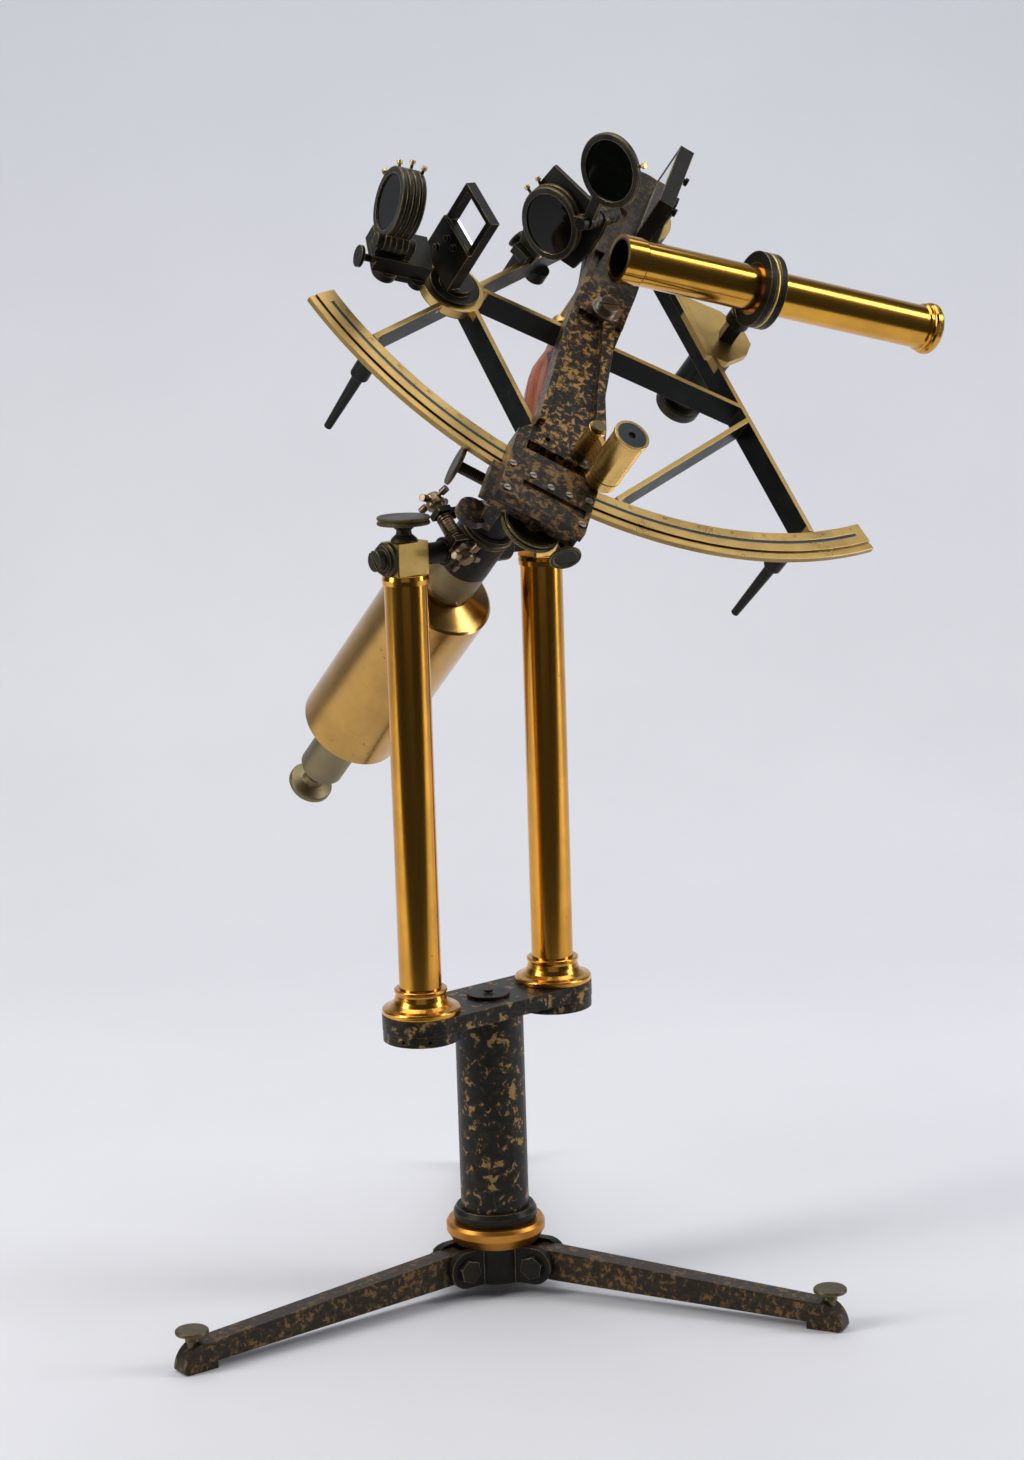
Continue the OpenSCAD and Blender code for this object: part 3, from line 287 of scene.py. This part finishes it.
def limb_look():
    """Golden arc with arcs of fine turning, with a painted shadow in its groove and painted shade
    on its side faces.
    """
    look = Look("limb_brass")
    local = look.place(QUINTANT)
    x, y, z = look.parts(local)
    r = look.radius(x, y)
    rings = look.noise(look.stretch(local, 40, 40, 0), 1.0, 2.0, 0.5)
    cloud = look.noise(local, 48.0, 6.0, 0.62)
    ripple = look.node("TexNoise", noise_dimensions="1D")
    look.put(ripple.inputs["W"], look.math("MULTIPLY", r, 4200.0))
    ripple.inputs["Scale"].default_value = 1.0
    fine = ripple.outputs["Fac"]
    tone = look.mix(look.span(cloud, 0.35, 0.72, 0.0, 0.7), (0.66, 0.45, 0.16),
                    (0.38, 0.23, 0.07))
    tone = look.mix(look.span(fine, 0.5, 0.75, 0.0, 0.35), tone, (0.35, 0.21, 0.06))
    # Painted shade: a dark ring stands for the groove's shadow, and the side faces below the front
    # are darkened.
    groove_shadow = look.math("MULTIPLY", look.span(r, 0.2081, 0.2084), look.span(r, 0.2092, 0.2089))
    side = look.span(z, -0.0011, -0.0009, 1.0, 0.0)
    dark = look.math("MAXIMUM", groove_shadow, look.math("MULTIPLY", side, 0.55))
    tone = look.mix(dark, tone, (0.10, 0.055, 0.018))
    tone = look.mix(look.math("MULTIPLY", look.edges(), 0.4), tone, (0.86, 0.66, 0.32))
    look.set(Base_Color=tone, Metallic=1.0,
             Roughness=look.span(look.math("ADD", rings, cloud), 0.7, 1.3, 0.24, 0.42))
    look.bump(fine, 0.00004, 0.4)
    return look


def wood_look():
    """Oiled rosewood with dark stripes along the handle."""
    look = Look("rosewood")
    local = look.place(QUINTANT @ shift(-11, 0, -40))
    bend = look.noise(look.stretch(local, 60, 7, 60), 1.0, 4.0, 0.6, 0.6)
    bands = look.noise(look.stretch(local, 330, 9, 330), 1.0, 5.0, 0.6, 1.2)
    pores = look.noise(look.stretch(local, 2200, 90, 2200), 1.0, 2.0, 0.5)
    tone = look.mix(look.span(bend, 0.35, 0.7), (0.42, 0.11, 0.035), (0.24, 0.055, 0.018))
    tone = look.mix(look.span(bands, 0.5, 0.6), tone, (0.045, 0.014, 0.008))
    tone = look.mix(look.span(pores, 0.62, 0.7, 0.0, 0.7), tone, (0.02, 0.008, 0.005))
    look.set(Base_Color=tone, Roughness=look.span(pores, 0.4, 0.7, 0.3, 0.45),
             Specular_IOR_Level=0.4)
    look.bump(pores, 0.00006, 0.3)
    return look


def shade_look(name, hinge, angle, reach, r, tint):
    """Near black glass in a black ring; the little pin's head is brass."""
    look = Look(name)
    x, y, z = look.parts(look.place(hinge @ turn(angle, "Z")))
    out = look.math("SUBTRACT", x, reach / 1000)
    away = look.radius(out, y)
    glass = look.span(away, (r - 3.25) / 1000, (r - 3.15) / 1000, 1.0, 0.0)
    pin = look.math("MULTIPLY", look.span(away, (r + 2.0) / 1000, (r + 2.1) / 1000),
                    look.span(out, 0.0, 0.001))
    cloud = look.noise(look.place(), 90.0, 5.0, 0.6)
    rub = look.math("MULTIPLY", look.edges(0.015, 0.12), look.span(cloud, 0.3, 0.5, 0.45, 1.0))
    rub = look.math("MAXIMUM", look.math("MULTIPLY", rub, look.math("SUBTRACT", 1.0, glass)), pin)
    ring = look.mix(look.span(cloud, 0.4, 0.7), (0.012, 0.012, 0.011), (0.035, 0.033, 0.027))
    ring = look.mix(rub, ring, (0.62, 0.44, 0.16))
    look.set(Base_Color=look.mix(glass, ring, tint), Metallic=look.math("MULTIPLY", rub, 0.9),
             Roughness=look.math("MULTIPLY_ADD", glass, -0.28, 0.34), Specular_IOR_Level=0.2)
    look.bump(cloud, 0.00002, 0.15)
    return look


def magnifier_look():
    """Brass tube whose eye end is a dark disc."""
    look = metal("magnifier_brass", BRASS, 0.25, MAGNIFIER, (40, 40, 1600), 0.3, 0.4, 0.5)
    x, y, z = look.parts(look.place(MAGNIFIER))
    top = look.math("MULTIPLY", look.span(look.radius(x, y), 0.0069, 0.0071, 1.0, 0.0),
                    look.span(z, 0.0431, 0.0433))
    old = look.shader.inputs["Base Color"].links[0].from_socket
    look.set(Base_Color=look.mix(top, old, (0.035, 0.045, 0.05)),
             Metallic=look.math("SUBTRACT", 1.0, look.math("MULTIPLY", top, 0.8)))
    return look


def tube_look(name, inner, spots=0.4):
    """Telescope brass outside, matt black inside."""
    look = metal(name, (0.74, 0.37, 0.048), 0.17, TELE, (900, 900, 5), 0.4, 0.38, spots,
                 0.000015, False)
    look.set(Coat_Weight=0.2, Coat_Roughness=0.08)
    x, y, z = look.parts(look.place(TELE))
    dark = look.span(look.radius(x, y), inner - 0.0001, inner + 0.0001, 1.0, 0.0)
    old = look.shader.inputs["Base Color"].links[0].from_socket
    look.set(Base_Color=look.mix(dark, old, (0.008, 0.008, 0.008)),
             Metallic=look.math("SUBTRACT", 1.0, dark))
    return look


def plain(name, color, metallic, rough, **more):
    """Smooth glass, silvering or ink with slight dust in its roughness."""
    look = Look(name)
    dust = look.noise(look.place(), 260.0, 4.0, 0.6)
    look.set(Base_Color=look.mix(look.span(dust, 0.4, 0.8, 0.0, 0.3), color,
                                 tuple(c * 0.6 for c in color)),
             Metallic=metallic, Roughness=look.span(dust, 0.35, 0.8, rough, rough + 0.12), **more)
    return look


COLUMN = mottled("column_lacquer", 0.578, 200.0, (0.009, 0.010, 0.007), (0.036, 0.026, 0.013),
                 (0.40, 0.24, 0.09))
LEG = mottled("leg_lacquer", 0.565, 300.0, (0.022, 0.018, 0.011), (0.055, 0.035, 0.017),
              (0.24, 0.135, 0.05))
INDEX = mottled("arm_lacquer", 0.535, 300.0, (0.014, 0.012, 0.008), (0.07, 0.042, 0.018),
                (0.46, 0.25, 0.075), top=-0.07)
BOX = mottled("box_lacquer", 0.545, 280.0, (0.018, 0.016, 0.011), (0.085, 0.052, 0.023),
              (0.27, 0.15, 0.055))
DARK = lacquer("black_lacquer")
SHARP = lacquer("worn_black", (0.009, 0.010, 0.008), 1.0)
HEADS = lacquer("bronzed_heads", (0.026, 0.025, 0.016), 1.0, 0.4)
CAST = metal("satin_brass", (0.62, 0.42, 0.14), 0.32, None, (300, 300, 300), 0.3, 0.4, 0.8)
RING = metal("ring_brass", (0.62, 0.27, 0.05), 0.36, STAND, (30, 30, 1500), 0.3, 0.5, 0.3)
TURNED = metal("turned_brass", DEEP_BRASS, 0.2, STAND, (30, 30, 1500), 0.3, 0.4, 0.3)
TURNED.set(Coat_Weight=0.4, Coat_Roughness=0.1)
WEIGHT = metal("weight_brass", (0.58, 0.33, 0.085), 0.19, HEAD, (30, 30, 1200), 0.45, 0.45, 0.9,
               0.00003, False)
WEIGHT.set(Coat_Weight=0.2, Coat_Roughness=0.12)
DULL = metal("dull_brass", OLIVE, 0.42, HEAD, (30, 30, 1200), 0.4, 0.5, 0.6)
AGED = metal("aged_brass", (0.15, 0.12, 0.06), 0.4, None, (200, 200, 200), 0.4, 0.4, 0.6)
PINKISH = metal("pink_bronze", PINK, 0.34, WORM, (200, 200, 1600), 0.3, 0.35, 0.3)
STEEL = metal("screw_steel", (0.34, 0.30, 0.25), 0.36, None, (500, 500, 500), 0.3, 0.4, 0.3)
# Painted reflection: the silver scale's colour is darkened to the near black it shows when it
# mirrors dark surroundings.
SILVER_PAINTED_REFLECTION = metal("scale_silver_painted_reflection", (0.075, 0.095, 0.115), 0.3, QUINTANT, (90, 90, 90), 0.2, 0.6)
GLASS = plain("lens_glass", (0.30, 0.34, 0.36), 0.0, 0.02, Transmission_Weight=0.7, IOR=1.5)
MIRROR = plain("mirror_glass", (0.86, 0.88, 0.90), 1.0, 0.015)
INK = plain("engraved_black", (0.012, 0.012, 0.013), 0.0, 0.5)
BLACK_TUBE = plain("inside_black", (0.010, 0.010, 0.010), 0.0, 0.6)

LOOKS = {
    COLUMN: ["column", "crossbar"],
    LEG: ["leg_left", "leg_right", "leg_rear"],
    INDEX: ["index_arm"],
    BOX: ["vernier_box"],
    SHARP: ["hub", "hinge_screws", "column_collar", "cradle", "worm_bracket", "slew_wheel",
            "index_mirror_frame", "horizon_mirror_frame", "index_shade_bracket",
            "horizon_shade_bracket", "clamp_screw", "telescope_collar"],
    DARK: ["spindle_cap", "slew_spindle", "frame_feet", "telescope_nut"],
    HEADS: ["pivot_screws", "tilt_knob", "release_knob", "tangent_screw"],
    RING: ["base_ring"],
    TURNED: ["pillar_bases"],
    pillar_look(): ["pillars"],
    CAST: ["bearing_blocks", "handle_brackets", "vernier_scale"],
    WEIGHT: ["counterweight"],
    DULL: ["counter_sleeve", "counter_tail", "azimuth_spindle"],
    AGED: ["levelling_left", "levelling_right", "levelling_rear", "magnifier_post"],
    PINKISH: ["capstan_screw"],
    STEEL: ["arm_screws"],
    SILVER_PAINTED_REFLECTION: ["scale_inlay"],
    GLASS: ["telescope_lens"],
    MIRROR: ["index_mirror", "horizon_mirror"],
    frame_look(): ["frame"],
    limb_look(): ["limb"],
    wood_look(): ["handle"],
    magnifier_look(): ["magnifier"],
    tube_look("telescope_brass", 0.0097): ["telescope_tube"],
    tube_look("eyepiece_brass", 0.0031): ["eyepiece_tube"],
}
TINTS = [(0.003, 0.004, 0.003), (0.004, 0.003, 0.003), (0.003, 0.003, 0.004), (0.003, 0.003, 0.003)]
for i, (angle, reach) in enumerate(((-9, 29.3), (-140, 26), (-138, 26))):
    made = shade_look(f"index_shade_{i + 1}", INDEX_SHADES, angle, reach, 17.2, TINTS[i])
    LOOKS[made] = [f"index_shade_{i + 1}"]
for i in range(4):
    made = shade_look(f"horizon_shade_{i + 1}", HORIZON_SHADES, -51, 17.8, 16.2, TINTS[i])
    LOOKS[made] = [f"horizon_shade_{i + 1}"]

for look, names in LOOKS.items():
    for name in names:
        nodes[name].data.materials.clear()
        nodes[name].data.materials.append(look.material)


def piece(name, body, look, local, build, smooth=False):
    """Makes one mesh object; build fills a bmesh in millimetres in the local frame."""
    bm = bmesh.new()
    build(bm)
    bmesh.ops.scale(bm, vec=(0.001, 0.001, 0.001), verts=bm.verts)
    bmesh.ops.transform(bm, matrix=local, verts=bm.verts)
    bmesh.ops.recalc_face_normals(bm, faces=bm.faces)
    mesh = bpy.data.meshes.new(name)
    bm.to_mesh(mesh)
    bm.free()
    if smooth:
        mesh.shade_smooth()
    mesh.materials.append(look.material)
    made = bpy.data.objects.new(name, mesh)
    bpy.context.scene.collection.objects.link(made)
    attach(made, body)
    return made


def milled(r, z0, z1, teeth, depth=0.35, proud=0.12):
    """Straight milling round a head: closed ribs that stand a little proud of it."""

    def build(bm):
        for i in range(teeth):
            a = 2 * math.pi * i / teeth
            step = 2 * math.pi / teeth
            rows = []
            for z, cut in ((z0, 0.18), (z0 + 0.15, 0.0), (z1 - 0.15, 0.0), (z1, 0.18)):
                row = []
                for da, rr in ((-0.34, r - depth), (-0.2, r + proud - 0.08 - cut),
                               (0.0, r + proud - cut), (0.2, r + proud - 0.08 - cut),
                               (0.34, r - depth)):
                    t = a + da * step
                    row.append(bm.verts.new((rr * math.cos(t), rr * math.sin(t), z)))
                rows.append(row)
            for low, high in zip(rows, rows[1:]):
                for k in range(5):
                    bm.faces.new((low[k], low[(k + 1) % 5], high[(k + 1) % 5], high[k]))
            bm.faces.new(rows[0])
            bm.faces.new(rows[-1])

    return build


def thread(r, z0, z1, pitch, proud=0.3, parts=24):
    """A screw thread: one ridge wound round a rod."""

    def build(bm):
        turns = (z1 - z0) / pitch
        count = int(turns * parts)
        last = None
        for i in range(count + 1):
            t = 2 * math.pi * i / parts
            z = z0 + pitch * i / parts
            ends = min(1.0, i / parts * 2, (count - i) / parts * 2)
            row = [bm.verts.new((q * math.cos(t), q * math.sin(t), z + h)) for q, h in (
                (r - 0.3, -0.36 * pitch), (r + proud * ends, -0.08 * pitch),
                (r + proud * ends, 0.08 * pitch), (r - 0.3, 0.36 * pitch))]
            if last:
                for k in range(4):
                    bm.faces.new((last[k], last[(k + 1) % 4], row[(k + 1) % 4], row[k]))
            else:
                bm.faces.new(row)
            last = row
        bm.faces.new(last)

    return build


def band(profile, parts=72):
    """A closed ring turned from a closed outline of (r, z) points."""

    def build(bm):
        rows = [[bm.verts.new((r * math.cos(2 * math.pi * i / parts),
                               r * math.sin(2 * math.pi * i / parts), z)) for r, z in profile]
                for i in range(parts)]
        n = len(profile)
        for i in range(parts):
            a, b = rows[i], rows[(i + 1) % parts]
            for k in range(n):
                bm.faces.new((a[k], b[k], b[(k + 1) % n], a[(k + 1) % n]))

    return build


def ticks(lines, z):
    """Flat engraved strokes, each (angle from the centre line, r0, r1, width)."""

    def build(bm):
        for a, r0, r1, w in lines:
            c = Vector((math.sin(math.radians(a)), -math.cos(math.radians(a)), 0))
            s = Vector((-c.y, c.x, 0)) * (w / 2)
            bm.faces.new([bm.verts.new(p + Vector((0, 0, z))) for p in (
                c * r0 - s, c * r1 - s, c * r1 + s, c * r0 + s)])

    return build


def numbers(marks, size, z):
    """Plain figures, each (text, angle from the centre line, r), read from the pivot."""

    def build(bm):
        for text, a, r in marks:
            curve = bpy.data.curves.new("figure", "FONT")
            curve.body = text
            curve.size = size
            curve.align_x = "CENTER"
            curve.align_y = "CENTER"
            curve.resolution_u = 3
            carrier = bpy.data.objects.new("figure", curve)
            mesh = bpy.data.meshes.new_from_object(carrier)
            t = math.radians(a)
            mesh.transform(Matrix.Translation((r * math.sin(t), -r * math.cos(t), z))
                           @ Matrix.Rotation(t + math.pi, 4, "Z"))
            bm.from_mesh(mesh)
            bpy.data.objects.remove(carrier)
            bpy.data.curves.remove(curve)
            bpy.data.meshes.remove(mesh)

    return build


# Divisions of the arc: a third of a degree of reading is a sixth on the arc
STEPS_PER_DEGREE = 6
marks = []
for i in range(int(ARC_HALF * 2 * STEPS_PER_DEGREE) + 1):
    angle = -ARC_HALF + i / STEPS_PER_DEGREE
    kind = 0 if i % 30 == 0 else 1 if i % 15 == 0 else 2 if i % 3 == 0 else 3
    marks.append((angle, ARC_R - (2.2, 1.7, 1.1, 0.75)[kind], ARC_R + 0.72,
                  (0.16, 0.13, 0.11, 0.09)[kind]))
piece("arc_divisions", "quintant", INK, QUINTANT, ticks(marks, 0.025))
figures = [(str(n * 10), ARC_HALF - n * 5.0, ARC_R - 3.5) for n in range(17)]
piece("arc_figures", "quintant", INK, QUINTANT, numbers(figures, 2.1, 0.025))
VERNIER_START, VERNIER_STEP = 4.2, 0.163
vernier = [(VERNIER_START - i * VERNIER_STEP, ARC_R - 2.7, ARC_R - (1.2 if i % 5 else 0.4), 0.1)
           for i in range(52)]
piece("vernier_divisions", "index", INK, ARM, ticks(vernier, 3.625))
vernier_figures = [(str(n * 5), VERNIER_START - n * 10 * VERNIER_STEP, ARC_R + 1.4)
                   for n in range(6)]
piece("vernier_figures", "index", INK, ARM, numbers(vernier_figures, 1.7, 3.625))

# Milled heads, worm and wheel
disc = ARM @ shift(1.8, -229.5, -3.6) @ turn(180, "X")
piece("clamp_milling_front", "arc_clamp", HEADS, disc,
      milled(13.8, 0.5, 1.65, 120, 0.3, 0.1))
piece("clamp_milling_rear", "arc_clamp", HEADS, disc,
      milled(13.8, 3.1, 4.9, 120, 0.3, 0.1))
tangent = ARM @ shift(0, -209.2, -13.6) @ turn(-90, "Y") @ shift(0, 0, 36.4)
piece("tangent_milling", "tangent", HEADS, tangent,
      milled(9.5, 0.45, 2.1, 84, 0.5, 0.1))
piece("tangent_thread", "tangent", AGED, tangent,
      thread(2.62, -14.0, -1.5, 0.8, 0.14))
knob = ARM @ shift(19.8, -233, -8.6) @ turn(28, "Z") @ turn(90, "X")
piece("release_milling", "release", HEADS, knob,
      milled(7.15, 2.15, 3.6, 64, 0.3, 0.12))
thumb = STAND @ shift(-41.2, 0, 0)
block_height = 15.9
block_top = TILT_AXLE_Z + block_height / 2 - 0.4
piece("thumb_milling_low", "tilt_clamp", HEADS, thumb,
      milled(12.6, block_top + 8.35, block_top + 9.4, 110, 0.3, 0.12))
piece("thumb_milling_high", "tilt_clamp", HEADS, thumb,
      milled(12.6, block_top + 10.65, block_top + 11.8, 110, 0.3, 0.12))
for name, angle in LEGS.items():
    foot = STAND @ turn(angle, "Z") @ shift(176.5, 0, 0)
    piece(f"levelling_milling_{name}", f"foot_{name}", AGED, foot,
          milled(7.95, 18.75, 20.1, 72, 0.3, 0.12))
rise = QUINTANT @ shift(TELE_U, -TELE_V, 0) @ turn(180, "X")
piece("rise_nut_milling", "rise_nut", HEADS, rise,
      milled(11.2, 46.9, 51.1, 96, 0.3, 0.12))
piece("eye_cap_milling", "eyepiece", TURNED, TELE,
      milled(12.35, 92.9, 94.9, 96, 0.25, 0.08))
piece("worm_thread", "slow_motion", PINKISH, WORM,
      thread(3.6, -6.9, 6.9, 1.5, 0.32), True)
piece("wheel_teeth", "quintant", SHARP, HEAD,
      milled(13.85, 14.7, 16.9, 90, 0.3, 0.12))
tail = HEAD @ shift(0, 0, -148) @ turn(180, "X")
piece("tail_milling", "cradle", AGED, tail,
      milled(11.5, 53.2, 55.9, 96, 0.3, 0.12))
piece("collar_line", "telescope", CAST, TELE,
      band([(17.2, -0.9), (17.9, -0.7), (17.9, 0.7), (17.2, 0.9)], 96), True)
piece("cell_line", "telescope", DARK, TELE,
      band([(10.7, -65.75), (11.05, -65.65), (11.05, -65.3), (10.7, -65.2)], 96), True)
piece("magnifier_line", "magnifier", DARK, MAGNIFIER @ shift(0, 0, 13),
      band([(7.6, 5.55), (7.86, 5.7), (7.86, 6.2), (7.6, 6.35)], 64), True)
piece("magnifier_stop", "magnifier", BLACK_TUBE, MAGNIFIER @ shift(0, 0, 13),
      band([(1.9, 29.7), (6.3, 29.3), (6.3, 28.9), (1.9, 29.3)], 48))


# The camera: its place, its axes and its focal length, as solved for the photograph's frame
FOCAL_PX = 3300
FRAME_HIGH_PX = 1460
SENSOR = 36.0
EYE = Vector((-0.9601, -1.2460, 0.6063))
LOOK = Vector((0.6017, 0.7730, -0.2011))
UP = Vector((0.1476, 0.1398, 0.9791))
RIGHT = Vector((0.7849, -0.6188, -0.0300))

# Floor directions: away from the camera, and to its right
AHEAD = Vector((LOOK.x, LOOK.y, 0)).normalized()
ACROSS = Vector((AHEAD.y, -AHEAD.x, 0))


def sweep_look():
    """Pale paper, with painted shade that darkens it up the wall."""
    look = Look("studio_paper")
    grain = look.noise(look.place(), 3.0, 5.0, 0.55)
    z = look.parts(look.place())[2]
    low = look.mix(look.span(grain, 0.3, 0.7), (0.74, 0.74, 0.775), (0.78, 0.78, 0.815))
    # Painted shade: the paper's colour darkens to a bluish grey towards the top of the wall.
    high = (0.40, 0.47, 0.56)
    look.set(Base_Color=look.mix(look.span(z, 0.1, 2.6), low, high), Roughness=0.75)
    return look


def sweep():
    """A paper sweep: flat floor, a wide curve, then the wall."""
    bm = bmesh.new()
    path = [(-0.45, 0.0), (0.6, 0.0)]
    path += [(0.6 + 1.1 * math.sin(t), 1.1 - 1.1 * math.cos(t))
             for t in (i * math.pi / 2 / 24 for i in range(1, 25))]
    path += [(1.7, 5.0)]
    rows = [[bm.verts.new(AHEAD * d + ACROSS * s + Vector((0, 0, h))) for d, h in path]
            for s in (-5.0, 5.0)]
    for k in range(len(path) - 1):
        bm.faces.new((rows[0][k], rows[1][k], rows[1][k + 1], rows[0][k + 1]))
    bmesh.ops.recalc_face_normals(bm, faces=bm.faces)
    mesh = bpy.data.meshes.new("studio_sweep")
    bm.to_mesh(mesh)
    bm.free()
    mesh.shade_smooth()
    mesh.materials.append(sweep_look().material)
    made = bpy.data.objects.new("studio_sweep", mesh)
    bpy.context.scene.collection.objects.link(made)


sweep()


# Lights
def softbox(name, side, ahead, height, wide, tall, power, color=(1, 1, 1)):
    """An area light placed from the object, across and ahead of the camera's view."""
    light = bpy.data.lights.new(name, "AREA")
    light.shape = "RECTANGLE"
    light.size, light.size_y = wide, tall
    light.energy = power
    light.color = color
    made = bpy.data.objects.new(name, light)
    made.location = ACROSS * side + AHEAD * ahead + Vector((0, 0, height))
    aim = Vector((0, 0, 0.35)) - made.location
    made.rotation_euler = aim.to_track_quat("-Z", "Y").to_euler()
    bpy.context.scene.collection.objects.link(made)


softbox("key_left", -1.5, -0.5, 1.1, 0.5, 1.7, 21, (1.0, 0.98, 0.95))
softbox("fill_right", 1.5, -0.1, 0.9, 0.35, 1.7, 14, (0.97, 0.98, 1.0))
softbox("top", 0.0, 0.35, 2.4, 2.6, 1.8, 37, (0.97, 0.98, 1.0))
softbox("front", 0.1, -3.4, 1.1, 2.8, 2.6, 5, (1.0, 0.92, 0.8))

world = bpy.data.worlds.new("studio")
world.use_nodes = True
world.node_tree.nodes["Background"].inputs[0].default_value = (0.60, 0.65, 0.75, 1)
world.node_tree.nodes["Background"].inputs[1].default_value = 0.06
bpy.context.scene.world = world
bpy.context.scene.view_settings.view_transform = "Standard"

camera = bpy.data.cameras.new("camera")
camera.sensor_fit = "VERTICAL"
camera.sensor_height = SENSOR
camera.sensor_width = SENSOR
camera.lens = FOCAL_PX / FRAME_HIGH_PX * SENSOR
camera.clip_start, camera.clip_end = 0.05, 20
seen = bpy.data.objects.new("camera", camera)
seen.matrix_world = Matrix.Translation(EYE) @ Matrix(
    ((RIGHT.x, UP.x, -LOOK.x), (RIGHT.y, UP.y, -LOOK.y), (RIGHT.z, UP.z, -LOOK.z))).to_4x4()
bpy.context.scene.collection.objects.link(seen)
bpy.context.scene.camera = seen
